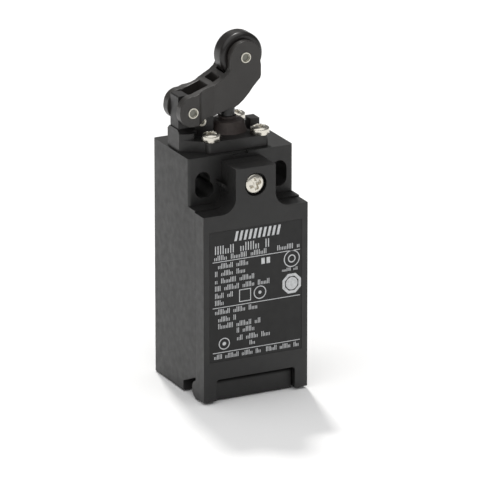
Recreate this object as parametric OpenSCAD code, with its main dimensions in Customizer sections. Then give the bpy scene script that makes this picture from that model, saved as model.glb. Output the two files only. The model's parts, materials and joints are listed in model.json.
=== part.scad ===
// Roller lever limit switch with a plastic body, a hinged front cover and a built-in contact block.
// Millimetres. Z is up, the cover faces -Y, and the origin is at the middle of the body's underside.

/* [Body] */
// Width of the body
body_w = 30; // [30:0.1:31]
// Depth of the body with its cover closed
body_d = 29.7; // [29.5:0.1:30.5]
// Height of the body
body_h = 64.2; // [64:0.1:66]
// Thickness of the side and back walls
wall = 1.9; // [1.6:0.1:2.1]
// Height of the shoulders beside the cover's tongue
shoulder_z = 51.4; // [51:0.1:52]

/* [Cover] */
// Depth of the cover, front face to seam
cover_d = 5; // [4.8:0.1:5.2]
// Thickness of the cover's front wall
cover_wall = 1.8; // [1.5:0.1:2]
// Width of the tongue at the top of the cover
tongue_w = 11.4; // [10.9:0.1:11.6]
// Height of the top of the tongue
tongue_z = 62.6; // [62:0.1:63]
// Radius of the hinge knuckles
knuckle_r = 2.5; // [2.2:0.1:2.6]

/* [Mounting] */
// Diameter of the mounting holes, for M4 screws
mount_hole_d = 4.3; // [4.2:0.1:4.5]
// Spacing of the round mounting holes
mount_pitch = 20; // [20:0.1:20.2]
// Spacing of the mounting slots
slot_pitch = 22; // [22:0.1:22.2]
// Height of the round mounting holes
mount_z = 55.5; // [55.3:0.1:55.8]
// Core diameter of the conduit thread
conduit_d = 18.9; // [18.5:0.1:19]

/* [Lever] */
// Distance from the pivot to the roller's centre along X
lever_reach = 15.3; // [15.1:0.1:15.4]
// Height of the roller's centre above the pivot
lever_rise = 12.8; // [12.7:0.1:12.9]
// Width over the two cheeks at the roller
lever_w = 9.4; // [9.4:0.1:9.6]
// Radius of the roller
roller_r = 6.1; // [5.9:0.1:6.1]
// Width of the roller
roller_w = 5; // [4.8:0.1:5]

/* [Hidden] */
$fn = 64;
over = 1;                      // how far a cutting shape runs past the face it cuts
fit = 0.05;                    // radial clearance of a running fit
skin = 0.02;                   // gap left between pieces that slide or press on each other

// Planes of the body
side_x = body_w / 2;
back_y = body_d / 2;
front_y = -body_d / 2;
seam_y = front_y + cover_d;
ledge_depth = 3.6;
ledge_y = seam_y + ledge_depth;
tongue_x = tongue_w / 2;
tongue_fillet = 4;
pocket_fillet = 2.95;          // the same corner in the body, around the screw's pocket
cover_shoulder_z = shoulder_z - 0.45;
edge_r = 0.8;                  // rounding of the body's upright edges

// Chamber in the body
chamber_x = side_x - wall;
chamber_back_y = back_y - wall;
chamber_floor_z = 12;
chamber_top_z = 49.6;
conduit_r = conduit_d / 2;
conduit_y = 1.5;

// Hinge of the cover
hinge_y = seam_y - 0.4;
hinge_z = 2.5;
leg_x = 11.35;                 // inner face of the cover's legs
leg_slot_z = 6.2;
stub_r = 1.1;
stub_l = 2;
hinge_block_x = leg_x - 0.25;
hinge_block_y = front_y + cover_wall;
hinge_block_z = 5.5;
leg_bottom_z = 0.4;

// Cover screw
screw_z = 57.9;
screw_recess_r = 3.1;
screw_seat_y = front_y + 1.8;
screw_head_r = 2.65;
screw_head_h = 1.7;
screw_shank_r = 1.5;
screw_tip_y = ledge_y - 0.1;
insert_r = 2.5;
insert_bore_r = 1.85;
insert_back_y = seam_y + 5.4;
seal_h = 0.6;

// Gasket and label of the cover
gasket_in = 0.55;
gasket_w = 0.9;
gasket_h = 0.8;
label_x = 13.3;
label_low_z = 11.1;
label_high_z = 46.6;
label_h = 0.15;

// Head
head_y = 4;                    // the head, lever and plunger share this plane
head_half = 8.8;
plate_z = body_h + 3.1;
head_screw_xy = 7;
head_screw_r = 2.52;
head_screw_h = 2.35;
head_shank_r = 1.4;
head_screw_l = 8.9;
bracket_x = -14.4;
post_x = -14.1;
post_right_x = -8.6;
post_half = 2.35;
post_z = 78.8;
base_z = 69;
base_top_z = 70;
rib_right_x = -4;              // rib between the post and the boot
rib_top_z = 72.9;
spigot_r = 5.4;
spigot_z = 57.5;
collar_room_r = 4.2;
collar_room_z = 63.6;

// Pivot of the lever
pivot_x = -11.1;
pivot_z = 74.65;

// Plunger and boot
plunger_x = 1.1;
plunger_r = 1.95;
nose_r = 3;                    // the lever's nose rolls on the plunger's flat top
nose_rise = 2.873;
plunger_z = pivot_z + nose_rise - nose_r - 0.03;
collar_r = 3.9;
collar_z = 61.4;
collar_h = 1.8;
stem_r = 1.2;
stem_z = 56.77;
boot_r = 5.2;
boot_z = 71.3;
boot_recess_r = 5.3;
boot_recess_z = plate_z - 1.2;
spring_seat_z = 50.9;

// Lever and pins
pin_r = 1.42;
pin_dimple_r = 1.08;
pin_dimple_h = 0.6;
roller_x = pivot_x + lever_reach;
roller_z = pivot_z + lever_rise;
cheek_in = 2.6;                // inner face of a cheek, from the middle plane
pivot_half = 5.15;             // outer face of a cheek at the pivot, where it is thicker
stop_x = -7.2;
stop_z = 71;
stop_r = 1.15;

// Contact block
case_x = 12.6;
case_back_y = 12;
case_front_y = 1;
lid_front_y = -0.6;
barrier_y = -6.6;
case_low_z = 23.8;
case_high_z = 49.2;
room_x = 9.6;
room_back_y = 10.8;
room_low_z = 25;
room_high_z = 48;
carrier_half_y = 2.7;
carrier_x = 2.4;
carrier_low_z = 34.4;
carrier_high_z = 47.4;
carrier_stem_r = 1.85;
carrier_stem_z = 56.75;
bar_t = 0.8;
bar_x = 8;
bar_half_y = 1.55;
tip_r = 1.2;
tip_h = 0.7;
tip_x = 6;
nc_bar_z = 44.4;
no_bar_z = 35.6;
window_web_z = 40.2;
tab_x = [4.6, 7.6];
plate_x = [2.2, 9.2];
nc_tab_z = nc_bar_z + bar_t + 2 * tip_h;
no_tab_z = 27.55;
strip_t = 0.8;
terminal_h = 8;
terminal_screw_x = 5.9;
terminal_screw_r = 2.9;
nc_screw_z = nc_tab_z - 3.6;
no_screw_z = no_tab_z + 4.4;
fix_x = 11;
fix_z = [26.4, 46.6];

// ---------- helpers ----------

// Extrudes an outline drawn in X and Z along Y
module along_y(y0, y1) {
    translate([0, y1, 0]) rotate([90, 0, 0]) linear_extrude(y1 - y0) children();
}

// Extrudes an outline drawn in Y and Z along X
module along_x(x0, x1) {
    translate([x0, 0, 0]) rotate([90, 0, 90]) linear_extrude(x1 - x0) children();
}

// A round bar along Y
module bar_y(r, y0, y1, x, z) {
    translate([x, y0, z]) rotate([-90, 0, 0]) cylinder(r = r, h = y1 - y0);
}

// A round bar along Z
module bar_z(r, z0, z1, x, y) {
    translate([x, y, z0]) cylinder(r = r, h = z1 - z0);
}

// A box from its low corner to its high corner
module block(low, high) {
    translate(low) cube(high - low);
}

module both_sides() {
    children();
    mirror([1, 0, 0]) children();
}

// A rectangle from (x0, y0) to (x1, y1) with round corners
module round_rect(x0, y0, x1, y1, r) {
    translate([x0 + r, y0]) square([x1 - x0 - 2 * r, y1 - y0]);
    translate([x0, y0 + r]) square([x1 - x0, y1 - y0 - 2 * r]);
    for (x = [x0 + r, x1 - r], y = [y0 + r, y1 - r]) translate([x, y]) circle(r);
}

// A helical spring with closed ends, standing between z0 and z1
module coil(r, wire_r, z0, z1, turns) {
    sides = 6;
    steps = 14 * turns;
    rise = z1 - z0 - 2 * wire_r;
    function level(t) = z0 + wire_r + rise * t;
    points = [for (i = [0:steps], k = [0:sides - 1])
        let (a = 360 * turns * i / steps, b = 360 * k / sides, q = r + wire_r * cos(b))
        [q * cos(a), q * sin(a), level(i / steps) + wire_r * sin(b)]];
    walls = [for (i = [0:steps - 1], k = [0:sides - 1])
        let (m = (k + 1) % sides)
        [i * sides + k, i * sides + m, (i + 1) * sides + m, (i + 1) * sides + k]];
    start = [for (k = [0:sides - 1]) sides - 1 - k];
    end = [for (k = [0:sides - 1]) steps * sides + k];
    polyhedron(points, concat([start, end], walls), convexity = 6);
}

// ---------- body ----------

// Front outline of the body's rim and of the cover: shoulders, tongue and the fillets between
module front_outline(shoulder, fillet) {
    difference() {
        union() {
            translate([-side_x, 0]) square([body_w, shoulder]);
            translate([-tongue_x - fillet, shoulder - over])
                square([tongue_w + 2 * fillet, fillet + over]);
            translate([-tongue_x, shoulder]) square([tongue_w, tongue_z - shoulder]);
        }
        both_sides() translate([tongue_x + fillet, shoulder + fillet]) circle(fillet);
    }
}

// Thin hooked wall that carries the pocket's curve on over the mounting screw
module pocket_hook() {
    hook_t = 0.7;
    hook_w = 1.6;
    intersection() {
        translate([tongue_x - over, shoulder_z + pocket_fillet])
            square([hook_w + over, 2 * pocket_fillet]);
        difference() {
            translate([tongue_x + pocket_fillet, shoulder_z + pocket_fillet])
                circle(pocket_fillet + hook_t);
            translate([tongue_x + pocket_fillet, shoulder_z + pocket_fillet]) circle(pocket_fillet);
        }
    }
}

// One combined mounting hole: a round hole with an upright slot beside it
module mount_hole_outline() {
    hole_r = mount_hole_d / 2;
    slot_rise = 2.65;
    translate([mount_pitch / 2, mount_z]) circle(hole_r);
    translate([slot_pitch / 2, mount_z]) circle(hole_r);
    translate([slot_pitch / 2, mount_z + slot_rise]) circle(hole_r);
    translate([slot_pitch / 2 - hole_r, mount_z]) square([mount_hole_d, slot_rise]);
}

// The space behind each hinge knuckle, open to the side and to the front
module knuckle_space() {
    along_x(hinge_block_x, side_x + over)
        polygon([[seam_y - over, -over], [seam_y - over, 6.4], [-2.6, 2.75], [-2.6, -over]]);
}

module housing() {
    band = 0.3;                // the back is set in between its top and bottom bands
    color("#2b2b2c") difference() {
        union() {
            linear_extrude(body_h)
                round_rect(-side_x, ledge_y, side_x, back_y, edge_r);
            block([-side_x, seam_y + 1, 0], [side_x, ledge_y + 2, shoulder_z]);
            along_y(seam_y, ledge_y + 2) front_outline(shoulder_z, pocket_fillet);
            both_sides() along_y(seam_y, ledge_y + 2) pocket_hook();
            hinge_block();
        }
        block([-chamber_x, seam_y - over, chamber_floor_z],
            [chamber_x, chamber_back_y, chamber_top_z]);
        block([-side_x - over, back_y - band, 9], [side_x + over, back_y + over, 54]);
        bar_z(conduit_r, -over, chamber_floor_z + over, 0, conduit_y);
        both_sides() along_y(seam_y - over, back_y + over) mount_hole_outline();
        both_sides() knuckle_space();
        both_sides() translate([hinge_block_x - stub_l - 0.2, hinge_y, hinge_z])
            rotate([0, 90, 0]) cylinder(r = stub_r + fit, h = stub_l + over);
        plunger_channel();
        fixing_holes(chamber_back_y - over, back_y - 0.7, 1.15);
        bar_y(insert_r, seam_y - over, insert_back_y, 0, screw_z);
        for (x = [-1, 1], y = [-1, 1]) bar_z(head_shank_r, plate_z - head_screw_l - 0.3,
            body_h + over, x * head_screw_xy, head_y + y * head_screw_xy);
        block([-2.05, ledge_y - 0.7, body_h - 0.7], [2.05, ledge_y + 0.9, body_h + over]);
    }
    color("#2b2b2c") difference() {
        fixing_holes(case_back_y, chamber_back_y + 0.2, 2.2);
        fixing_holes(case_back_y - over, chamber_back_y + over, 1.15);
    }
}

// Block between the cover's legs, rounded towards the cover
module hinge_block() {
    round_r = 1.2;
    along_x(-hinge_block_x, hinge_block_x) {
        translate([hinge_block_y, 0]) square([seam_y + 2 - hinge_block_y, hinge_block_z - round_r]);
        translate([hinge_block_y + round_r, 0]) square([seam_y + 2 - hinge_block_y - round_r,
            hinge_block_z]);
        translate([hinge_block_y + round_r, hinge_block_z - round_r]) circle(round_r);
    }
}

// Stepped bore under the head, down to the contact block
module plunger_channel() {
    bar_z(spigot_r + 0.1, spigot_z - 0.5, body_h + over, plunger_x, head_y);
    bar_z(collar_room_r, spring_seat_z, spigot_z, plunger_x, head_y);
    bar_z(carrier_stem_r + 0.4, chamber_top_z - over, spring_seat_z + over, 0, head_y);
}

module screw_insert() {
    color("#b08d4a") difference() {
        bar_y(insert_r, seam_y + 0.1, insert_back_y, 0, screw_z);
        bar_y(insert_bore_r, seam_y - over, insert_back_y + over, 0, screw_z);
    }
}

// ---------- cover ----------

module cover() {
    color("#303031") difference() {
        union() {
            intersection() {
                along_y(front_y, seam_y) front_outline(cover_shoulder_z, tongue_fillet);
                block([-side_x, front_y, leg_bottom_z], [side_x, seam_y, tongue_z]);
            }
            both_sides() along_x(leg_x, side_x) translate([hinge_y, hinge_z]) circle(knuckle_r);
            both_sides() translate([leg_x - stub_l, hinge_y, hinge_z])
                rotate([0, 90, 0]) cylinder(r = stub_r, h = stub_l + over);
        }
        difference() {
            along_y(front_y - over, seam_y + over)
                round_rect(-leg_x, -2 * over, leg_x, leg_slot_z, 0.8);
            both_sides() translate([leg_x - stub_l, hinge_y, hinge_z])
                rotate([0, 90, 0]) cylinder(r = stub_r, h = stub_l + over);
        }
        block([-chamber_x, front_y + cover_wall, leg_slot_z + cover_wall],
            [chamber_x, seam_y + over, chamber_top_z - 0.6]);
        along_y(seam_y - gasket_h, seam_y + over) gasket_outline();
        bar_y(screw_recess_r, front_y - over, screw_seat_y, 0, screw_z);
        bar_y(screw_shank_r + 0.3, screw_seat_y - over, seam_y + over, 0, screw_z);
        bar_y(screw_head_r - 0.1, screw_seat_y - over, screw_seat_y + seal_h, 0, screw_z);
        block([-label_x, front_y - over, label_low_z],
            [label_x, front_y + label_h + 0.05, label_high_z]);
    }
}

module gasket_outline() {
    low = leg_slot_z + 0.5;
    high = cover_shoulder_z - 0.5;
    difference() {
        round_rect(-side_x + gasket_in, low, side_x - gasket_in, high, 2);
        round_rect(-side_x + gasket_in + gasket_w, low + gasket_w, side_x - gasket_in - gasket_w,
            high - gasket_w, 1.2);
    }
}

module cover_gasket() {
    color("#161616") along_y(seam_y - gasket_h, seam_y) gasket_outline();
}

module cover_screw() {
    dome_r = 4.6;
    color("#d8d6cf") difference() {
        union() {
            intersection() {
                bar_y(screw_head_r, screw_seat_y - screw_head_h, screw_seat_y, 0, screw_z);
                translate([0, screw_seat_y - screw_head_h + dome_r, screw_z]) sphere(dome_r);
            }
            bar_y(screw_shank_r, screw_seat_y - 0.2, screw_tip_y, 0, screw_z);
        }
        for (a = [0, 90]) translate([0, screw_seat_y - screw_head_h - over, screw_z])
            rotate([0, a + 20, 0]) translate([-1.5, 0, -0.3]) cube([3, 0.9 + over, 0.6]);
    }
}

module cover_screw_seal() {
    color("#1b1b1b") difference() {
        bar_y(screw_head_r - 0.15, screw_seat_y, screw_seat_y + seal_h, 0, screw_z);
        bar_y(screw_shank_r, screw_seat_y - over, screw_seat_y + seal_h + over, 0, screw_z);
    }
}

module label_plate() {
    color("#262627") block([-label_x + 0.05, front_y + 0.05, label_low_z + 0.05],
        [label_x - 0.05, front_y + label_h + 0.05, label_high_z - 0.05]);
}

// ---------- head ----------

// Plan of the head's plate: a square with a tapered arm towards the pivot
module plate_outline() {
    round_rect(-head_half, head_y - head_half, head_half, head_y + head_half, 1);
    arm = 3.3;
    polygon([[bracket_x, head_y - arm], [-6.9, head_y - head_half], [-6.9, head_y + head_half],
        [bracket_x, head_y + arm]]);
}

module head() {
    color("#333334") difference() {
        union() {
            translate([0, 0, body_h]) linear_extrude(plate_z - body_h) plate_outline();
            bar_z(spigot_r, spigot_z, body_h + 0.1, plunger_x, head_y);
            translate([0, head_y, 0]) bracket();
            block([6.2, head_y - 3.3, body_h + 1], [head_half, head_y + 0.3, base_top_z + 0.3]);
        }
        bar_z(plunger_r + fit, spigot_z - over, plate_z + over, plunger_x, head_y);
        bar_z(collar_room_r, spigot_z - over, collar_room_z, plunger_x, head_y);
        bar_z(boot_recess_r, boot_recess_z, rib_top_z + over, plunger_x, head_y);
        gasket_ring(0.8);
        for (x = [-1, 1], y = [-1, 1]) bar_z(head_shank_r, body_h - over, plate_z + over,
            x * head_screw_xy, head_y + y * head_screw_xy);
        bar_y(pin_r + fit, head_y - post_half - over, head_y + post_half + over, pivot_x, pivot_z);
        bar_y(stop_r, head_y - post_half - over, head_y + post_half + over, stop_x, stop_z);
    }
}

// Post that carries the lever's pivot, on a low base with sloping flanks
module bracket() {
    base_half = 3.45;
    translate([0, 0, plate_z - 0.5]) linear_extrude(base_z - plate_z + 0.5) polygon([
        [bracket_x, -base_half], [-12.2, -4.5], [-10.6, -4.5], [-9.4, -base_half],
        [-9.4, base_half], [-10.6, 4.5], [-12.2, 4.5], [bracket_x, base_half]]);
    along_x(bracket_x, -9.4) polygon([[-base_half, base_z], [-post_half, base_top_z],
        [post_half, base_top_z], [base_half, base_z]]);
    along_y(-post_half, post_half) {
        polygon([[post_x, plate_z - 0.5], [post_right_x, plate_z - 0.5], [post_right_x, 76.9],
            [-11.1, post_z], [post_x + 0.3, post_z], [post_x, post_z - 0.3]]);
        polygon([[-9.5, plate_z - 0.5], [rib_right_x, plate_z - 0.5], [rib_right_x, rib_top_z - 0.6],
            [rib_right_x - 0.9, rib_top_z], [-9.5, rib_top_z]]);
    }
}

module gasket_ring(h) {
    difference() {
        bar_z(7, body_h - 0.1, body_h + h, plunger_x, head_y);
        bar_z(6, body_h - over, body_h + h + over, plunger_x, head_y);
    }
}

module head_gasket() {
    color("#161616") intersection() {
        gasket_ring(0.8);
        block([-10, -10, body_h], [10, 20, body_h + 5]);
    }
}

module head_screws() {
    for (x = [-1, 1], y = [-1, 1])
        translate([x * head_screw_xy, head_y + y * head_screw_xy, plate_z]) head_screw(x * y * 25);
}

// Pan-head screw with a cross recess, seated at z = 0
module head_screw(turn) {
    dome_r = 4;
    color("#d8d6cf") difference() {
        union() {
            intersection() {
                cylinder(r = head_screw_r, h = head_screw_h);
                translate([0, 0, head_screw_h - dome_r]) sphere(dome_r);
            }
            translate([0, 0, -head_screw_l]) cylinder(r = head_shank_r, h = head_screw_l + 0.2);
        }
        for (a = [0, 90]) rotate(a + turn) translate([-1.5, -0.3, head_screw_h - 1])
            cube([3, 0.6, 2]);
    }
}

module boot() {
    wall_t = 0.8;
    color("#2a2320") translate([plunger_x, head_y, 0]) rotate_extrude() polygon([
        [boot_r - wall_t, boot_recess_z], [boot_r, boot_recess_z], [boot_r, plate_z - 0.5],
        [4.95, plate_z], [4.05, 69.8], [3.6, 70.3], [2.5, 70.5], [2.5, boot_z],
        [plunger_r + fit, boot_z], [plunger_r + fit, boot_z - wall_t], [3.1, 69.5],
        [boot_r - wall_t, plate_z - 0.6]]);
}

module stop_pin() {
    reach = post_half + 0.05;
    color("#c9c7c0") difference() {
        bar_y(stop_r, head_y - reach, head_y + reach, stop_x, stop_z);
        for (y = [-1, 1]) bar_y(0.6, head_y + y * reach - 0.7, head_y + y * reach + 0.7, stop_x, stop_z);
    }
}

module plunger() {
    color("#4a4a4b") difference() {
        union() {
            bar_z(plunger_r, collar_z, plunger_z, plunger_x, head_y);
            bar_z(collar_r, collar_z, collar_z + collar_h, plunger_x, head_y);
            bar_z(stem_r, stem_z, collar_z + over, plunger_x, head_y);
        }
        rim_cut();
    }
}

// Chamfer round the plunger's top
module rim_cut() {
    c = 0.3;
    translate([plunger_x, head_y, 0]) rotate_extrude() polygon([[plunger_r + c, plunger_z - 2 * c],
        [plunger_r + c, plunger_z + c], [plunger_r - 2 * c, plunger_z + c]]);
}

module plunger_spring() {
    color("#b9b9b6") translate([plunger_x, head_y, 0])
        coil(3.3, 0.25, spring_seat_z + skin, collar_z - skin, 5);
}

// ---------- lever ----------

// Side outline of a cheek
module cheek_outline() {
    end_r = 3.75;
    neck_r = 4.4;
    translate([pivot_x, pivot_z]) circle(end_r);
    translate([pivot_x + 0.1, pivot_z + 0.7]) circle(end_r);
    translate([roller_x, roller_z]) circle(neck_r);
    polygon([[pivot_x - end_r, pivot_z], [pivot_x, pivot_z - end_r], [-9.3, 71.05],
        [-8.6, 71.35], [-7.3, 72.1], [-5.8, 72.7], [-2.1, 73.85], [-0.6, 74.35], [0.9, 74.4],
        [2.2, 75.1], [3.6, 76.2], [5.3, 78], [6.3, 79.3], [8.4, 81.5], [8.6, 82.3],
        [roller_x + neck_r, roller_z - 2.6], [roller_x + neck_r - 0.2, roller_z - 1.2],
        [roller_x, roller_z], [roller_x - neck_r, roller_z], [-0.1, 84.9], [-0.7, 83.8],
        [-1.9, 82.8], [-3.6, 81.9], [-4.6, 81.3], [-5.9, 80.8], [-11.9, 78.7]]);
}

module lever() {
    color("#2e2e2f") difference() {
        translate([0, head_y, 0]) {
            intersection() {
                along_y(-pivot_half, pivot_half) cheek_outline();
                for (y = [0, 1]) mirror([0, y, 0]) linear_extrude(100) cheek_plan();
            }
            along_y(-cheek_in - 0.1, cheek_in + 0.1) web_outline();
        }
        for (z = [[pivot_x, pivot_z], [roller_x, roller_z]])
            bar_y(pin_r, head_y - lever_w, head_y + lever_w, z[0], z[1]);
        // room for a screwdriver on the two screws beside the cheeks
        for (y = [-1, 1])
            bar_z(3, plate_z, plate_z + 30, -head_screw_xy, head_y + y * head_screw_xy);
    }
}

// Plan of one cheek, thicker at the pivot than at the roller
module cheek_plan() {
    polygon([[-20, cheek_in], [20, cheek_in], [20, lever_w / 2], [-4.8, lever_w / 2],
        [-7.5, pivot_half], [-20, pivot_half]]);
}

// Web between the cheeks: closed round the roller, with a pocket from above and the plunger's nose below
module web_outline() {
    web_left_x = -5.7;
    web_low_z = 76.4;
    translate([plunger_x, pivot_z + nose_rise]) circle(nose_r);
    difference() {
        intersection() {
            cheek_outline();
            translate([web_left_x, web_low_z]) square([30, 30]);
        }
        translate([roller_x, roller_z]) circle(roller_r + 0.5);
        translate([-4.2, web_low_z + 1.2]) square([2.1, 12]);
    }
}

// A pin along Y whose ends are dimpled
module pin(x, z, half) {
    reach = half + 0.12;
    color("#d2d0c8") difference() {
        bar_y(pin_r, head_y - reach, head_y + reach, x, z);
        for (y = [-1, 1]) bar_y(pin_dimple_r, head_y + y * reach - pin_dimple_h,
            head_y + y * reach + pin_dimple_h, x, z);
    }
}

module pivot_pin() {
    pin(pivot_x, pivot_z, pivot_half);
}

module roller_pin() {
    pin(roller_x, roller_z, lever_w / 2);
}

module roller() {
    round_r = 1.1;
    half = roller_w / 2;
    color("#262627") translate([roller_x, head_y, roller_z]) rotate([90, 0, 0]) rotate_extrude()
        difference() {
            union() {
                translate([pin_r + fit, -half]) square([roller_r - round_r - pin_r - fit, roller_w]);
                translate([pin_r + fit, -half + round_r])
                    square([roller_r - pin_r - fit, roller_w - 2 * round_r]);
                for (y = [-1, 1]) translate([roller_r - round_r, y * (half - round_r)]) circle(round_r);
            }
            for (y = [-1, 1]) translate([2.9, y * half - 0.35]) square([1.5, 0.7]);
        }
}

// ---------- contact block ----------

module switch_case() {
    color("#8b8171") difference() {
        block([-case_x, case_front_y, case_low_z], [case_x, case_back_y, case_high_z]);
        block([-room_x, case_front_y - over, room_low_z], [room_x, room_back_y, room_high_z]);
        bar_z(carrier_stem_r + 0.1, room_high_z - over, case_high_z + over, 0, head_y);
        fixing_holes(case_front_y - over, case_back_y + over, 1.2);
    }
}

module fixing_holes(y0, y1, r) {
    bar_y(r, y0, y1, -fix_x, fix_z[1]);
    bar_y(r, y0, y1, fix_x, fix_z[0]);
}

module switch_lid() {
    color("#a39a86") difference() {
        union() {
            block([-case_x, lid_front_y, case_low_z], [case_x, case_front_y, case_high_z]);
            block([-1.1, barrier_y, case_low_z], [1.1, lid_front_y, case_high_z - 1.5]);
            both_sides() block([case_x - 0.9, -4.6, 28], [case_x, lid_front_y, 44]);
            block([-case_x, -5.4, 37], [case_x, lid_front_y, 38.2]);
        }
        for (x = [-1, 1], z = [nc_tab_z, no_tab_z])
            block([min(x * tab_x[0], x * tab_x[1]) - 0.1, lid_front_y - over, z - 0.1],
                [max(x * tab_x[0], x * tab_x[1]) + 0.1, case_front_y + over, z + strip_t + 0.1]);
        for (x = [-1, 1], z = [nc_screw_z, no_screw_z])
            bar_y(1.6, lid_front_y - over, case_front_y + over, x * terminal_screw_x, z);
        fixing_holes(lid_front_y - over, case_front_y + over, 1.2);
    }
}

module switch_screws() {
    color("#c9c7c0") for (s = [[-fix_x, fix_z[1]], [fix_x, fix_z[0]]]) difference() {
        union() {
            bar_y(1.15, lid_front_y - 0.2, back_y - 0.8, s[0], s[1]);
            bar_y(1.5, lid_front_y - 1.2, lid_front_y, s[0], s[1]);
        }
        translate([s[0] - 1, lid_front_y - 1.7, s[1] - 0.2]) cube([2, 1, 0.4]);
    }
}

// A fixed terminal: a plate under the screw and a tab that runs back to the contact
module terminal(side, tab_z, plate_low_z) {
    color("#b8974f") difference() {
        union() {
            block([side > 0 ? plate_x[0] : -plate_x[1], lid_front_y - strip_t, plate_low_z],
                [side > 0 ? plate_x[1] : -plate_x[0], lid_front_y, plate_low_z + terminal_h]);
            block([side > 0 ? tab_x[0] : -tab_x[1], lid_front_y - strip_t, tab_z],
                [side > 0 ? tab_x[1] : -tab_x[0], head_y + 1.5, tab_z + strip_t]);
        }
        bar_y(1.6, lid_front_y - over - strip_t, lid_front_y + over, side * terminal_screw_x,
            tab_z > 40 ? nc_screw_z : no_screw_z);
    }
}

module terminal_11() {
    terminal(-1, nc_tab_z, nc_tab_z + strip_t - terminal_h);
}

module terminal_12() {
    terminal(1, nc_tab_z, nc_tab_z + strip_t - terminal_h);
}

module terminal_23() {
    terminal(-1, no_tab_z, no_tab_z);
}

module terminal_24() {
    terminal(1, no_tab_z, no_tab_z);
}

module fixed_contacts() {
    color("#dcdcd8") for (x = [-tip_x, tip_x]) {
        bar_z(tip_r, nc_tab_z - tip_h, nc_tab_z, x, head_y);
        bar_z(tip_r, no_tab_z + strip_t, no_tab_z + strip_t + tip_h, x, head_y);
    }
}

module clamp_washers() {
    plate_y = lid_front_y - strip_t;
    color("#cfcfca") for (x = [-1, 1], z = [nc_screw_z, no_screw_z]) difference() {
        block([x * terminal_screw_x - 3.1, plate_y - 1, z - 3.2],
            [x * terminal_screw_x + 3.1, plate_y, z + 3.2]);
        bar_y(1.7, plate_y - 2, plate_y + over, x * terminal_screw_x, z);
    }
}

module terminal_screws() {
    seat_y = lid_front_y - strip_t - 1;
    color("#d2d0c8") for (x = [-1, 1], z = [nc_screw_z, no_screw_z]) difference() {
        union() {
            bar_y(terminal_screw_r, seat_y - 2, seat_y, x * terminal_screw_x, z);
            bar_y(1.6, seat_y - 0.2, case_front_y - 0.2, x * terminal_screw_x, z);
        }
        for (a = [0, 90]) translate([x * terminal_screw_x, seat_y - 2 - over, z])
            rotate([0, a, 0]) translate([-1.7, 0, -0.35]) cube([3.4, 1.1 + over, 0.7]);
    }
}

module contact_carrier() {
    gap = skin;
    color("#7a2f26") difference() {
        union() {
            block([-carrier_x, head_y - carrier_half_y, carrier_low_z],
                [carrier_x, head_y + carrier_half_y, carrier_high_z]);
            bar_z(carrier_stem_r, carrier_high_z - 0.5, carrier_stem_z, 0, head_y);
        }
        for (w = [[no_bar_z - gap, window_web_z - 0.4], [window_web_z + 0.4, nc_bar_z + bar_t + gap]])
            block([-carrier_x - over, head_y - bar_half_y - 0.1, w[0]],
                [carrier_x + over, head_y + bar_half_y + 0.1, w[1]]);
    }
}

module bridge(z) {
    color("#c08f4a") block([-bar_x, head_y - bar_half_y, z], [bar_x, head_y + bar_half_y, z + bar_t]);
}

module nc_bridge() {
    bridge(nc_bar_z);
}

module no_bridge() {
    bridge(no_bar_z);
}

module moving_contacts() {
    color("#dcdcd8") for (x = [-tip_x, tip_x]) {
        bar_z(tip_r, nc_bar_z + bar_t, nc_bar_z + bar_t + tip_h - skin, x, head_y);
        bar_z(tip_r, no_bar_z - tip_h, no_bar_z, x, head_y);
    }
}

module nc_contact_spring() {
    color("#b9b9b6") translate([0, head_y, 0])
        coil(1.1, 0.16, window_web_z + 0.4 + skin, nc_bar_z - skin, 5);
}

module no_contact_spring() {
    color("#b9b9b6") translate([0, head_y, 0])
        coil(1.1, 0.16, no_bar_z + bar_t + skin, window_web_z - 0.4 - skin, 4);
}

module return_spring() {
    color("#b9b9b6") translate([0, head_y, 0])
        coil(1.7, 0.2, room_low_z + skin, carrier_low_z - skin, 5);
}

housing();
screw_insert();
head();
head_gasket();
head_screws();
boot();
stop_pin();
plunger_spring();
plunger();
lever();
pivot_pin();
roller_pin();
roller();
cover();
cover_gasket();
cover_screw();
cover_screw_seal();
label_plate();
switch_case();
switch_lid();
switch_screws();
terminal_11();
terminal_12();
terminal_23();
terminal_24();
fixed_contacts();
clamp_washers();
terminal_screws();
contact_carrier();
nc_bridge();
no_bridge();
moving_contacts();
nc_contact_spring();
no_contact_spring();
return_spring();
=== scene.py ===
"""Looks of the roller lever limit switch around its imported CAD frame. Metres, Z up, cover towards -Y."""

import json
import math

import bmesh
import bpy
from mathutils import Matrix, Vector


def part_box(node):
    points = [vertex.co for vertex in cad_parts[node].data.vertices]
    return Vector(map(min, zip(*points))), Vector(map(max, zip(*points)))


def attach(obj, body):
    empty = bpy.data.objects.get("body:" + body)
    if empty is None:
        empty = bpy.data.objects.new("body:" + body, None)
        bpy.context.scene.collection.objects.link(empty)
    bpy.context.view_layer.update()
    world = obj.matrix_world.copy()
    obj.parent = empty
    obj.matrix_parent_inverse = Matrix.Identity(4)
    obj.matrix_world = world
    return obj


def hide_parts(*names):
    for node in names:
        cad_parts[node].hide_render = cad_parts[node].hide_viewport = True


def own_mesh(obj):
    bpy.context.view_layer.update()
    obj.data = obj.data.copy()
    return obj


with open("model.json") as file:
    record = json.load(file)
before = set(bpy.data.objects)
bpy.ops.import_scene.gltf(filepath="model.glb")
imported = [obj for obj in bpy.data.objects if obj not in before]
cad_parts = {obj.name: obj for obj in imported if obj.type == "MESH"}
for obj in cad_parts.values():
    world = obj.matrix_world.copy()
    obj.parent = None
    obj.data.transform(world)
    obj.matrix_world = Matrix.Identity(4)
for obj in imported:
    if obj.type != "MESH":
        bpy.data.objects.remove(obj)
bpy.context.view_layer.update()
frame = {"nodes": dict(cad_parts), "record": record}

MM = 0.001
NODES = frame["nodes"]


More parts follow.
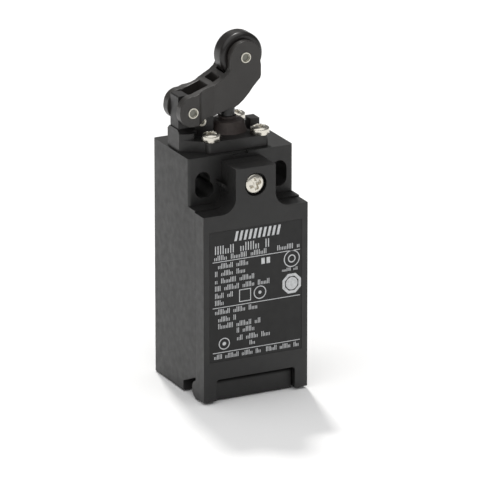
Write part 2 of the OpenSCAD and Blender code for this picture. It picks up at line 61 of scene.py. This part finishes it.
def middle(node):
    """The middle of a CAD node's box, in metres."""
    low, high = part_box(node)
    return (low + high) / 2


def smooth_step(value):
    """0 below 0, 1 above 1, and an easy curve between."""
    value = min(max(value, 0.0), 1.0)
    return value * value * (3 - 2 * value)


# ---------- camera, light and floor ----------

AIM = Vector((2.61, -6.2, 37.06)) * MM     # the point that the camera looks at
AZIMUTH, ELEVATION = math.radians(-26.49), math.radians(18.89)
DISTANCE = 1.3724
LENS, SENSOR = 380.85, 36                  # millimetres
FLOOR_REACH = 6                            # half the floor's side
FLOOR_LEVEL = -0.35 * MM                   # just under the inside of the cover when it lies open


def direction(azimuth, elevation):
    """Unit vector from the object towards a camera or a light; azimuth 0 is the front, -Y."""
    return Vector((math.sin(azimuth) * math.cos(elevation), -math.cos(azimuth) * math.cos(elevation),
                   math.sin(elevation)))


def make_camera():
    data = bpy.data.cameras.new("camera")
    data.lens, data.sensor_width = LENS, SENSOR
    data.clip_start, data.clip_end = 0.05, 20
    camera = bpy.data.objects.new("camera", data)
    back = direction(AZIMUTH, ELEVATION)
    camera.location = AIM + back * DISTANCE
    camera.rotation_mode = "QUATERNION"
    camera.rotation_quaternion = (-back).to_track_quat("-Z", "Y")
    bpy.context.scene.collection.objects.link(camera)
    bpy.context.scene.camera = camera


def sun(name, azimuth, elevation, spread, strength, colour=(1, 1, 1)):
    """A sun lamp; azimuth and elevation say where it stands, spread is its angular size, all in degrees."""
    data = bpy.data.lights.new(name, "SUN")
    data.angle, data.energy, data.color = math.radians(spread), strength, colour
    light = bpy.data.objects.new(name, data)
    light.rotation_mode = "QUATERNION"
    towards = direction(math.radians(azimuth), math.radians(elevation))
    light.rotation_quaternion = (-towards).to_track_quat("-Z", "Y")
    light.location = towards
    bpy.context.scene.collection.objects.link(light)


def make_stage():
    """A pale floor, a white world and a plain view transform."""
    bm = bmesh.new()
    signs = ((-1, -1), (1, -1), (1, 1), (-1, 1))
    corners = [bm.verts.new((x * FLOOR_REACH, y * FLOOR_REACH, FLOOR_LEVEL)) for x, y in signs]
    bm.faces.new(corners)
    mesh = bpy.data.meshes.new("floor")
    bm.to_mesh(mesh)
    bm.free()
    floor = bpy.data.objects.new("floor", mesh)
    bpy.context.scene.collection.objects.link(floor)
    paper = bpy.data.materials.new("floor_paper")
    paper.use_nodes = True
    shader = paper.node_tree.nodes["Principled BSDF"]
    shader.inputs["Base Color"].default_value = (0.93, 0.93, 0.93, 1)
    shader.inputs["Roughness"].default_value = 0.9
    shader.inputs["Specular IOR Level"].default_value = 0.0
    mesh.materials.append(paper)
    world = bpy.data.worlds.new("studio")
    bpy.context.scene.world = world
    world.use_nodes = True
    world.node_tree.nodes["Background"].inputs["Color"].default_value = (1, 1, 1, 1)
    world.node_tree.nodes["Background"].inputs["Strength"].default_value = 0.22
    bpy.context.scene.view_settings.view_transform = "Standard"


# ---------- materials ----------

class Paint:
    """Builds one node material step by step."""

    def __init__(self, name):
        self.material = bpy.data.materials.new(name)
        self.material.use_nodes = True
        self.tree = self.material.node_tree
        self.shader = self.tree.nodes["Principled BSDF"]
        self.coords = self.tree.nodes.new("ShaderNodeTexCoord").outputs["Object"]

    def node(self, kind, **values):
        made = self.tree.nodes.new(kind)
        for key, value in values.items():
            setattr(made, key, value)
        return made

    def link(self, out, into):
        self.tree.links.new(out, into)

    def noise(self, scale, detail=3.0, roughness=0.5, stretch=(1, 1, 1)):
        mapping = self.node("ShaderNodeMapping")
        mapping.inputs["Scale"].default_value = stretch
        self.link(self.coords, mapping.inputs["Vector"])
        noise = self.node("ShaderNodeTexNoise")
        noise.inputs["Scale"].default_value = scale
        noise.inputs["Detail"].default_value = detail
        noise.inputs["Roughness"].default_value = roughness
        self.link(mapping.outputs["Vector"], noise.inputs["Vector"])
        return noise.outputs["Fac"]

    def ramp(self, value, stops):
        ramp = self.node("ShaderNodeValToRGB").color_ramp
        for place, colour in stops[2:]:
            ramp.elements.new(place)
        for element, (place, colour) in zip(ramp.elements, sorted(stops)):
            element.position = place
            element.color = (*colour, 1) if hasattr(colour, "__len__") else (colour, colour, colour, 1)
        owner = self.tree.nodes[-1]
        self.link(value, owner.inputs["Fac"])
        return owner.outputs["Color"]

    def span(self, value, low, high):
        """Maps a noise value, which lies around 0.5, onto low to high."""
        node = self.node("ShaderNodeMapRange")
        node.inputs["From Min"].default_value, node.inputs["From Max"].default_value = 0.3, 0.7
        node.inputs["To Min"].default_value, node.inputs["To Max"].default_value = low, high
        self.link(value, node.inputs["Value"])
        return node.outputs["Result"]

    def bump(self, heights):
        """Stacks bumps: each is (height socket, depth in millimetres)."""
        last = None
        for height, depth in heights:
            bump = self.node("ShaderNodeBump")
            bump.inputs["Distance"].default_value = depth * MM
            bump.inputs["Strength"].default_value = 1
            self.link(height, bump.inputs["Height"])
            if last is not None:
                self.link(last, bump.inputs["Normal"])
            last = bump.outputs["Normal"]
        self.link(last, self.shader.inputs["Normal"])


def lighter(colour, factor):
    """The colour times a factor, below 1 for a darker one."""
    return tuple(min(1.0, c * factor) for c in colour)


def plastic(name, colour, rough, grain=0.012, grain_scale=3200, specular=0.5, change=0.12):
    """Moulded plastic: spark-eroded grain, soft colour drift and a little gloss variation."""
    p = Paint(name)
    drift = p.noise(90, 3)
    p.link(p.ramp(drift, [(0.3, lighter(colour, 1 - change)), (0.7, lighter(colour, 1 + change))]),
           p.shader.inputs["Base Color"])
    p.link(p.span(p.noise(520, 4), rough - 0.05, rough + 0.06), p.shader.inputs["Roughness"])
    p.shader.inputs["Specular IOR Level"].default_value = specular
    p.bump([(p.noise(grain_scale, 2, 0.6), grain), (p.noise(240, 2), 0.012)])
    return p.material


def metal(name, colour, rough, streaks=(1, 1, 8), scale=900, depth=0.004):
    """Plated or drawn metal with fine drawing marks."""
    p = Paint(name)
    marks = p.noise(scale, 3, 0.6, streaks)
    cloud = p.noise(300, 2)
    p.link(p.ramp(cloud, [(0.3, lighter(colour, 0.86)), (0.7, lighter(colour, 1.05))]),
           p.shader.inputs["Base Color"])
    p.shader.inputs["Metallic"].default_value = 1
    p.link(p.span(marks, rough - 0.06, rough + 0.08), p.shader.inputs["Roughness"])
    p.bump([(marks, depth)])
    return p.material


def pin_metal(name, node, colour, dimple_shade, dimple_r):
    """Turned steel with painted shade in the dimple of each end, darker than the bright rim; the pin lies
    along Y.
    """
    p = Paint(name)
    centre = middle(node)
    split = p.node("ShaderNodeSeparateXYZ")
    p.link(p.coords, split.inputs["Vector"])
    squares = []
    for axis, level in (("X", centre.x), ("Z", centre.z)):
        offset = p.node("ShaderNodeMath", operation="SUBTRACT")
        p.link(split.outputs[axis], offset.inputs[0])
        offset.inputs[1].default_value = level
        square = p.node("ShaderNodeMath", operation="POWER")
        p.link(offset.outputs[0], square.inputs[0])
        square.inputs[1].default_value = 2
        squares.append(square.outputs[0])
    total = p.node("ShaderNodeMath", operation="ADD")
    p.link(squares[0], total.inputs[0])
    p.link(squares[1], total.inputs[1])
    inside = p.node("ShaderNodeMapRange")
    edge, inner_share = dimple_r * MM, 0.86
    inside.inputs["From Min"].default_value = (inner_share * edge) ** 2
    inside.inputs["From Max"].default_value = edge ** 2
    p.link(total.outputs[0], inside.inputs["Value"])
    # Painted shade: the dimple's inside takes the darker colour, fading to plain steel at its rim
    p.link(p.ramp(inside.outputs["Result"], [(0.0, dimple_shade), (1.0, colour)]), p.shader.inputs["Base Color"])
    p.shader.inputs["Metallic"].default_value = 1
    marks = p.noise(1400, 3, 0.6)
    p.link(p.span(marks, 0.26, 0.4), p.shader.inputs["Roughness"])
    p.bump([(marks, 0.004)])
    return p.material


def rubber(name, colour, rough=0.62):
    """Moulded rubber: matt, with a fine skin and a trace of dust."""
    p = Paint(name)
    p.link(p.ramp(p.noise(400, 4), [(0.3, lighter(colour, 0.8)), (0.7, lighter(colour, 1.25))]),
           p.shader.inputs["Base Color"])
    p.link(p.span(p.noise(900, 3), rough - 0.06, rough + 0.08), p.shader.inputs["Roughness"])
    p.shader.inputs["Sheen Weight"].default_value = 0.05
    p.bump([(p.noise(2600, 3, 0.6), 0.012)])
    return p.material


def print_ink(name, colour):
    """White screen print, a little uneven and worn."""
    p = Paint(name)
    p.link(p.ramp(p.noise(1500, 4, 0.6), [(0.35, lighter(colour, 0.78)), (0.6, colour)]),
           p.shader.inputs["Base Color"])
    p.link(p.span(p.noise(900, 3), 0.5, 0.62), p.shader.inputs["Roughness"])
    p.bump([(p.noise(3000, 2), 0.004)])
    return p.material


def make_materials():
    return {
        "body_plastic": plastic("body_plastic", (0.0094, 0.0092, 0.0088), 0.46, 0.012),
        "cover_plastic": plastic("cover_plastic", (0.0094, 0.0092, 0.0089), 0.44, 0.010),
        "label": plastic("label_film", (0.0074, 0.0073, 0.0072), 0.52, 0.005, 5000, 0.42),
        "head_plastic": plastic("head_plastic", (0.0092, 0.0086, 0.0082), 0.42, 0.009),
        "lever_plastic": plastic("lever_plastic", (0.0240, 0.0218, 0.0198), 0.38, 0.007),
        "roller_plastic": plastic("roller_plastic", (0.0086, 0.0070, 0.0062), 0.33, 0.004),
        "plunger_plastic": plastic("plunger_plastic", (0.016, 0.016, 0.0155), 0.36, 0.004),
        "case_plastic": plastic("case_plastic", (0.30, 0.26, 0.20), 0.5, 0.010),
        "carrier_plastic": plastic("carrier_plastic", (0.25, 0.05, 0.03), 0.45, 0.008),
        "rubber": rubber("black_rubber", (0.0340, 0.0245, 0.0215)),
        "nickel": metal("nickel_plate", (0.70, 0.67, 0.60), 0.22),
        "spring_steel": metal("spring_steel", (0.55, 0.55, 0.54), 0.3, (1, 1, 1), 2500),
        "brass": metal("brass", (0.72, 0.52, 0.24), 0.3),
        "silver": metal("silver_contact", (0.86, 0.85, 0.82), 0.25, (1, 1, 1), 1500),
        "ink": print_ink("label_ink", (0.62, 0.63, 0.64)),
    }


# ---------- CAD nodes ----------

BEVELS = {                                 # millimetres, on the sharp edges of the CAD nodes that stay
    "housing": 0.22, "cover": 0.22, "head": 0.2, "lever": 0.16, "switch_case": 0.2, "switch_lid": 0.12,
    "contact_carrier": 0.12, "clamp_washers": 0.12, "roller": 0.1, "plunger": 0.1,
    "pivot_pin": 0.08, "roller_pin": 0.08, "stop_pin": 0.08, "terminal_screws": 0.1, "switch_screws": 0.1,
}
# The head's top face has so many holes that merging its triangles fails
KEEP_TRIANGLES = ("head",)
# Narrow faces of these would fold over at the full bevel width
CLAMPED = ("housing", "cover", "head", "switch_case")
# Wide flat faces keep their own normals, unblended across holes
FLAT_FACED = ("housing", "cover", "head", "lever")
# Radius of the dimple in each pin's ends, millimetres
PIN_DIMPLES = {"pivot_pin": 1.08, "roller_pin": 1.08, "stop_pin": 0.6}
# Steel of the pins, and the painted shade that darkens the dimples in their ends
PIN_STEEL, DIMPLE_PAINTED_SHADE = (0.62, 0.60, 0.53), (0.16, 0.16, 0.14)
MERGE_DISTANCE, FLAT_ANGLE, EDGE_ANGLE = 1e-6, 0.5, 32    # metres and degrees


def soften(node, width):
    """Rounds a CAD node's sharp edges with modifiers; its own mesh stays as it is."""
    mesh = node.data
    if "custom_normal" in mesh.attributes:
        mesh.attributes.remove(mesh.attributes["custom_normal"])
    mesh.shade_smooth()
    weld = node.modifiers.new("weld", "WELD")
    weld.merge_threshold = MERGE_DISTANCE
    if node.name not in KEEP_TRIANGLES:
        flat = node.modifiers.new("flat", "DECIMATE")
        flat.decimate_type, flat.angle_limit = "DISSOLVE", math.radians(FLAT_ANGLE)
    if width:
        bevel = node.modifiers.new("bevel", "BEVEL")
        bevel.width, bevel.segments = width * MM, 3
        bevel.limit_method, bevel.angle_limit = "ANGLE", math.radians(EDGE_ANGLE)
        bevel.use_clamp_overlap = node.name in CLAMPED
        bevel.miter_outer = "MITER_ARC"
        bevel.harden_normals = node.name in FLAT_FACED
    if node.name not in FLAT_FACED:
        normals = node.modifiers.new("normals", "WEIGHTED_NORMAL")
        normals.keep_sharp = False
        normals.weight = 80


def dress_nodes(materials):
    """Gives every CAD node its slot's material, and soft edges."""
    slots = {row["node"]: row["material_slot"] for row in frame["record"]["subparts"]}
    for name, node in NODES.items():
        node.data.materials.clear()
        if name in PIN_DIMPLES:
            finish = pin_metal(name + "_steel", name, PIN_STEEL, DIMPLE_PAINTED_SHADE, PIN_DIMPLES[name])
        else:
            finish = materials[slots[name]]
        node.data.materials.append(finish)
        soften(node, BEVELS.get(name, 0))


# ---------- pieces made here ----------

SIDES = 96                                 # of a round piece


def add_piece(name, vertices, faces, material, body, slot, smooth=True):
    """A new mesh object from points in millimetres, riding on a CAD body."""
    mesh = bpy.data.meshes.new(name)
    mesh.from_pydata([tuple(c * MM for c in v) for v in vertices], [], faces)
    mesh.validate()
    mesh.materials.append(material)
    if smooth:
        mesh.shade_smooth()
    piece = bpy.data.objects.new(name, mesh)
    bpy.context.scene.collection.objects.link(piece)
    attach(piece, body)
    return piece


def join(shapes):
    """Several (vertices, faces) shapes as one."""
    vertices, faces = [], []
    for points, polygons in shapes:
        start = len(vertices)
        vertices += points
        faces += [tuple(start + i for i in polygon) for polygon in polygons]
    return vertices, faces


def turned(rings, sides, place, height=None):
    """A closed turned body: rings of (radius, z) from the middle of the top down to the middle of the bottom.
    place puts a local (x, y, z) in the object's frame; height(radius, angle, z) may change z on a ring."""
    vertices, faces = [], []
    for radius, z in rings:
        for k in range(sides):
            angle = 2 * math.pi * k / sides
            lift = height(radius, angle, z) if height else z
            vertices.append(place(radius * math.cos(angle), radius * math.sin(angle), lift))
    for i in range(len(rings) - 1):
        for k in range(sides):
            m = (k + 1) % sides
            faces.append((i * sides + k, (i + 1) * sides + k, (i + 1) * sides + m, i * sides + m))
    last = (len(rings) - 1) * sides
    faces.append(tuple(range(sides)))
    faces.append(tuple(last + k for k in reversed(range(sides))))
    return vertices, faces


def ring_body(profile, sides, place):
    """A turned ring: profile is a closed loop of (radius, z)."""
    vertices, faces = [], []
    for radius, z in profile:
        for k in range(sides):
            angle = 2 * math.pi * k / sides
            vertices.append(place(radius * math.cos(angle), radius * math.sin(angle), z))
    count = len(profile)
    for i in range(count):
        for k in range(sides):
            m, j = (k + 1) % sides, (i + 1) % count
            faces.append((i * sides + k, j * sides + k, j * sides + m, i * sides + m))
    return vertices, faces


def swept(points, radius, sides):
    """A round wire along points."""
    vertices, faces = [], []
    for i, point in enumerate(points):
        before, after = points[max(i - 1, 0)], points[min(i + 1, len(points) - 1)]
        along = (Vector(after) - Vector(before)).normalized()
        side = along.cross(Vector((0, 0, 1))).normalized()
        up = side.cross(along).normalized()
        for k in range(sides):
            angle = 2 * math.pi * k / sides
            vertices.append(Vector(point) + radius * (math.cos(angle) * side + math.sin(angle) * up))
    for i in range(len(points) - 1):
        for k in range(sides):
            m = (k + 1) % sides
            faces.append((i * sides + k, (i + 1) * sides + k, (i + 1) * sides + m, i * sides + m))
    faces.append(tuple(range(sides)))
    faces.append(tuple((len(points) - 1) * sides + k for k in reversed(range(sides))))
    return [tuple(v) for v in vertices], faces


HEAD_SCREW_R, HEAD_SCREW_H = 2.52, 2.35    # millimetres, as in the CAD
HEAD_SHANK_R, COVER_SHANK_R = 1.4, 1.5
COVER_SCREW_H = 1.7
THREAD_PITCH, THREAD_DEPTH = 0.7, 0.16


def screw(head_r, head_h, shank_r, shank_l, turn, place):
    """A cross recess, turned by turn, in a domed pan head over a threaded shank; its seat is at z = 0."""
    rim_h = 0.6 * head_h
    arm, half, deep, soft = 0.62 * head_r, 0.19 * head_r, 0.6 * head_h, 0.14    # of the cross recess

    def height(radius, angle, z):
        if radius > 0.8 * head_r or z < rim_h:
            return z
        cut = 0
        for spoke in (0, math.pi / 2):
            u = abs(radius * math.cos(angle - spoke - turn))
            v = abs(radius * math.sin(angle - spoke - turn))
            cut = max(cut, smooth_step((half - v) / soft + 0.5) * smooth_step((arm - u) / soft + 0.5))
        return z - deep * cut * (1.15 - 0.5 * radius / head_r)

    steps, rise = 34, head_h - rim_h
    rings = []
    for i in range(steps + 1):
        out = (i + 0.02) / (steps + 0.02)
        rings.append((head_r * 0.99 * out, rim_h + rise * math.sqrt(1 - (0.97 * out) ** 2)))
    rings += [(head_r, rim_h), (head_r, 0.12), (head_r - 0.1, 0), (shank_r, 0)]
    neck, root_r = 0.6, shank_r - THREAD_DEPTH
    for i in range(int((shank_l - 2 * neck) / THREAD_PITCH)):
        z = -neck - i * THREAD_PITCH
        rings += [(shank_r, z), (root_r, z - 0.25 * THREAD_PITCH), (root_r, z - 0.5 * THREAD_PITCH),
                  (shank_r, z - 0.8 * THREAD_PITCH)]
    rings += [(shank_r - 0.05, -shank_l + 0.4), (shank_r - 0.4, -shank_l), (0.05, -shank_l)]
    return turned(rings, SIDES, place, height)


def make_screws(materials):
    """The four head screws as one piece, each recess at its own angle, and the cover's screw."""
    low, high = (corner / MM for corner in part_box("head_screws"))
    seat = high.z - HEAD_SCREW_H
    shapes = []
    for i, x in enumerate((low.x + HEAD_SCREW_R, high.x - HEAD_SCREW_R)):
        for k, y in enumerate((low.y + HEAD_SCREW_R, high.y - HEAD_SCREW_R)):
            turn = 0.5 + 0.9 * i + 0.5 * k
            shapes.append(screw(HEAD_SCREW_R, HEAD_SCREW_H, HEAD_SHANK_R, seat - low.z, turn,
                                lambda a, b, c, x=x, y=y: (x + a, y + b, seat + c)))
    piece = add_piece("pan_head_screws", *join(shapes), materials["nickel"], "root", "nickel")
    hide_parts("head_screws")
    low, high = (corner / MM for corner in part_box("cover_screw"))
    centre = middle("cover_screw") / MM
    seat = low.y + COVER_SCREW_H
    shape = screw((high.x - low.x) / 2, COVER_SCREW_H, COVER_SHANK_R, high.y - seat, 0.35,
                  lambda a, b, c: (centre.x + a, seat - c, centre.z + b))
    piece = add_piece("cover_screw_detailed", *shape, materials["nickel"], "front_cover", "nickel")
    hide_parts("cover_screw")


def make_boot(materials):
    """Rubber boot: a flared bell with a round shoulder and a rolled lip that hugs the plunger."""
    low, high = (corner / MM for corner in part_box("boot"))
    centre = middle("boot") / MM
    bottom, top, radius = low.z, high.z, (high.x - low.x) / 2
    hug, steps = 2.0, 8                    # hug: the lip's inner radius
    outer = [(radius, bottom), (radius, bottom + 1.05), (radius - 0.1, bottom + 1.25)]
    for i in range(steps + 1):
        t = i / steps
        outer.append((radius - 0.2 - 0.8 * t, bottom + 1.4 + 2.35 * t))
    start_r, start_z = outer[-1]
    for i in range(1, steps + 1):
        a = math.pi / 2 * i / steps
        outer.append((start_r - 0.6 * (1 - math.cos(a)), start_z + 0.42 * math.sin(a)))
    crown_z = outer[-1][1]
    outer += [(3.25, crown_z + 0.05), (2.95, crown_z + 0.04), (2.75, crown_z - 0.04), (2.6, crown_z + 0.05)]
    lip_z = (crown_z + 0.1 + top) / 2
    for i in range(steps + 1):
        a = -math.pi / 2 + math.pi * i / steps
        outer.append((2.2 + 0.34 * math.cos(a), lip_z + (top - lip_z) * math.sin(a)))
    inner = [(hug, top - 0.1), (hug, lip_z - 0.3), (3.0, crown_z - 0.6), (4.1, bottom + 1.7),
             (radius - 0.9, bottom)]
    shape = ring_body(outer + inner, SIDES, lambda a, b, c: (centre.x + a, centre.y + b, c))
    piece = add_piece("rubber_boot", *shape, materials["rubber"], "root", "rubber")
    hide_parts("boot")
    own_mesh(piece)


def make_spring(node, name, wire, turns, materials, body, squash=None):
    """A compression spring with closed ends, as large as its CAD coil; wire is the wire's radius."""
    low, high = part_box(node)
    centre = middle(node) / MM
    coil_r = (high.x - low.x) / MM / 2 - wire
    z0, z1 = low.z / MM + wire, high.z / MM - wire
    steps = 36 * (turns + 2)               # one closed turn at each end
    points = []
    for i in range(steps + 1):
        turn = (turns + 2) * i / steps
        level = min(max(turn - 1, 0) / turns, 1)
        closed = 2 * wire * min(turn, 1) + 2 * wire * max(turn - turns - 1, 0)
        z = z0 + closed + (z1 - z0 - 4 * wire) * level
        angle = 2 * math.pi * turn
        points.append((centre.x + coil_r * math.cos(angle), centre.y + coil_r * math.sin(angle), z))
    piece = add_piece(name, *swept(points, wire, 10), materials["spring_steel"], body, "spring_steel")
    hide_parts(node)
    if squash:
        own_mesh(piece)


def make_thread(materials):
    """Helical thread in the conduit entry, standing on its wall."""
    mount = next(m for m in frame["record"]["mounts"] if m["name"] == "conduit_entry")
    wall, length = mount["dims"]["r_mm"], mount["dims"]["length_mm"]
    x, y = mount["pos_m"][0] / MM, mount["pos_m"][1] / MM
    pitch, depth, half, crest, sunk = 1.5, 0.4, 0.5, 0.12, 0.03
    start, runout = 0.8, 40                # millimetres left free at each end; steps in which the ridge rises
    turns = (length - 2 * start) / pitch
    vertices, faces = [], []
    steps = int(SIDES * turns)
    for i in range(steps + 1):
        angle = 2 * math.pi * turns * i / steps
        z = start + pitch * turns * i / steps
        fade = smooth_step(min(i, steps - i) / runout)
        inner = wall - depth * fade
        for r, dz in ((wall + sunk, -half), (inner, -crest), (inner, crest), (wall + sunk, half)):
            vertices.append((x + r * math.cos(angle), y + r * math.sin(angle), z + dz))
    for i in range(steps):
        for k in range(4):
            m = (k + 1) % 4
            faces.append((i * 4 + k, i * 4 + m, (i + 1) * 4 + m, (i + 1) * 4 + k))
    faces += [(3, 2, 1, 0), tuple(steps * 4 + k for k in range(4))]
    add_piece("conduit_thread", vertices, faces, materials["body_plastic"], "root", "body_plastic", False)


# ---------- label print ----------

INK_LIFT, INK_SINK = 0.012, 0.01           # how far the print stands on the label and reaches into it
LEFT = -11.7                               # where most rows of the print start
# Height, pitch and stroke of the ticks in a row, millimetres
TITLE, SECOND, SMALL = (2.3, 1.45, 0.27), (1.4, 0.95, 0.2), (1.4, 0.88, 0.19)
LOW, TINY, FOOT = (1.2, 0.88, 0.19), (0.9, 0.66, 0.15), (1.3, 0.8, 0.18)


def plate(points, front):
    """A thin printed shape from an outline in X and Z; front is the label's face."""
    count = len(points)
    y = front - INK_LIFT
    vertices = [(p[0], y, p[1]) for p in points] + [(p[0], front + INK_SINK, p[1]) for p in points]
    faces = [tuple(range(count))]
    faces += [(k, count + k, count + (k + 1) % count, (k + 1) % count) for k in range(count)]
    return vertices, faces


def bar(x0, x1, z0, z1, front, lean=0.0):
    """A printed bar, whose top may lean to the right."""
    return plate([(x0, z0), (x1, z0), (x1 + lean, z1), (x0 + lean, z1)], front)


def ring_mark(front, x, z, outer, inner, sides=48, phase=0.0):
    """A flat ring, or a disc where inner is 0, or a polygon with few sides."""
    loop = [(math.cos(2 * math.pi * k / sides + phase), math.sin(2 * math.pi * k / sides + phase))
            for k in range(sides)]
    if not inner:
        return plate([(x + outer * c, z + outer * s) for c, s in loop], front)
    y = front - INK_LIFT
    vertices = [(x + r * c, y, z + r * s) for r in (outer, inner) for c, s in loop]
    vertices += [(x + r * c, front + INK_SINK, z + r * s) for r in (outer, inner) for c, s in loop]
    faces = []
    for k in range(sides):
        m = (k + 1) % sides
        faces.append((k, m, sides + m, sides + k))
        faces.append((k, 2 * sides + k, 2 * sides + m, m))
        faces.append((sides + k, sides + m, 3 * sides + m, 3 * sides + k))
    return vertices, faces


def tick_row(x0, x1, z, height, seed, front, stroke, pitch):
    """Upright ticks of two lengths, in groups; they stand for a printed line and spell nothing."""
    groups = (2, 2, 1, 2, 0, 1, 2, 2, 1, 0, 2, 1, 1, 2, 2, 0, 1)
    shapes = []
    low, high = z - height / 2, z + height / 2
    for i in range(int((x1 - x0) / pitch)):
        kind = groups[(i + seed * 5) % len(groups)]
        if not kind:
            continue
        top = high if kind == 2 else z + 0.1 * height
        for x in (x0 + i * pitch, x0 + (i + 0.5) * pitch):
            shapes.append(bar(x, x + stroke, low, top, front))
    return shapes


def make_label_print(materials):
    """Rules, a hatched bar, rows of ticks and plain marks; none of it is lettering."""
    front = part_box("label_plate")[0].y / MM
    shapes = [bar(-12.4, 12.8, z - 0.09, z + 0.09, front) for z in (38.4, 25.9, 13.6)]
    shapes += [bar(-6.2 + 1.35 * i, -5.5 + 1.35 * i, 43.4, 46, front, 0.6) for i in range(10)]
    rows = (                               # from x, to x, height above the floor, style
        (LEFT, 4.9, 41.6, TITLE), (-11.9, 3.6, 39.5, SECOND), (6.2, 13.0, 39.7, SECOND),
        (LEFT, -1.2, 37.2, SMALL), (LEFT, -2.2, 35.2, SMALL), (LEFT, 1.4, 33.2, SMALL),
        (LEFT, 4.4, 31.2, SMALL), (LEFT, -5.6, 29.2, SMALL), (LEFT, -8.0, 27.3, SMALL),
        (7.6, 12.6, 33.4, TINY), (LEFT, 0.8, 24.8, SMALL), (LEFT, -5.4, 22.7, SMALL),
        (LEFT, 1.6, 20.8, SMALL), (-5.5, -0.1, 19.0, SMALL), (-5.4, 4.6, 16.9, SMALL),
        (-1.8, 1.5, 15.1, LOW), (-12.0, 1.6, 12.5, FOOT), (3.0, 13.2, 12.5, FOOT))
    for seed, (x0, x1, z, (height, pitch, stroke)) in enumerate(rows):
        shapes += tick_row(x0, x1, z, height, seed, front, stroke, pitch)
    octagon, square = (8, math.pi / 8), (4, math.pi / 4)
    marks = (                              # x, z, outer radius, inner radius, a polygon's sides and phase
        (10.4, 36.2, 2.3, 2.05), (10.4, 36.2, 1.1, 0.8), (10.4, 29.4, 2.9, 2.1, *octagon),
        (10.4, 29.4, 1.7, 0), (1.2, 28.4, 1.8, 1.55), (1.2, 28.4, 0.45, 0),
        (-9.1, 15.9, 1.6, 1.35), (-9.1, 15.9, 0.5, 0), (-3.1, 28.3, 2.4, 2.1, *square))
    shapes += [ring_mark(front, *mark) for mark in marks]
    shapes += [bar(1.6 + 1.5 * i, 2.6 + 1.5 * i, 36, 37.65, front) for i in range(2)]
    add_piece("label_print", *join(shapes), materials["ink"], "front_cover", "label", False)


make_camera()
make_stage()
# A small sun for the cast shadow and a very wide one for even light
sun("key", 168, 57, 6, 1.6, (1.0, 0.99, 0.97))
sun("dome", -48, 68, 100, 1.95)
MATERIALS = make_materials()
dress_nodes(MATERIALS)
make_screws(MATERIALS)
make_boot(MATERIALS)
make_spring("plunger_spring", "plunger_spring_wire", 0.25, 4, MATERIALS, "root", ("plunger_travel", 0.45))
make_spring("return_spring", "return_spring_wire", 0.2, 4, MATERIALS, "root", ("contact_travel", 0.385))
make_spring("nc_contact_spring", "nc_contact_spring_wire", 0.16, 4, MATERIALS, "contact_slide")
make_spring("no_contact_spring", "no_contact_spring_wire", 0.16, 3, MATERIALS, "contact_slide")
make_thread(MATERIALS)
make_label_print(MATERIALS)
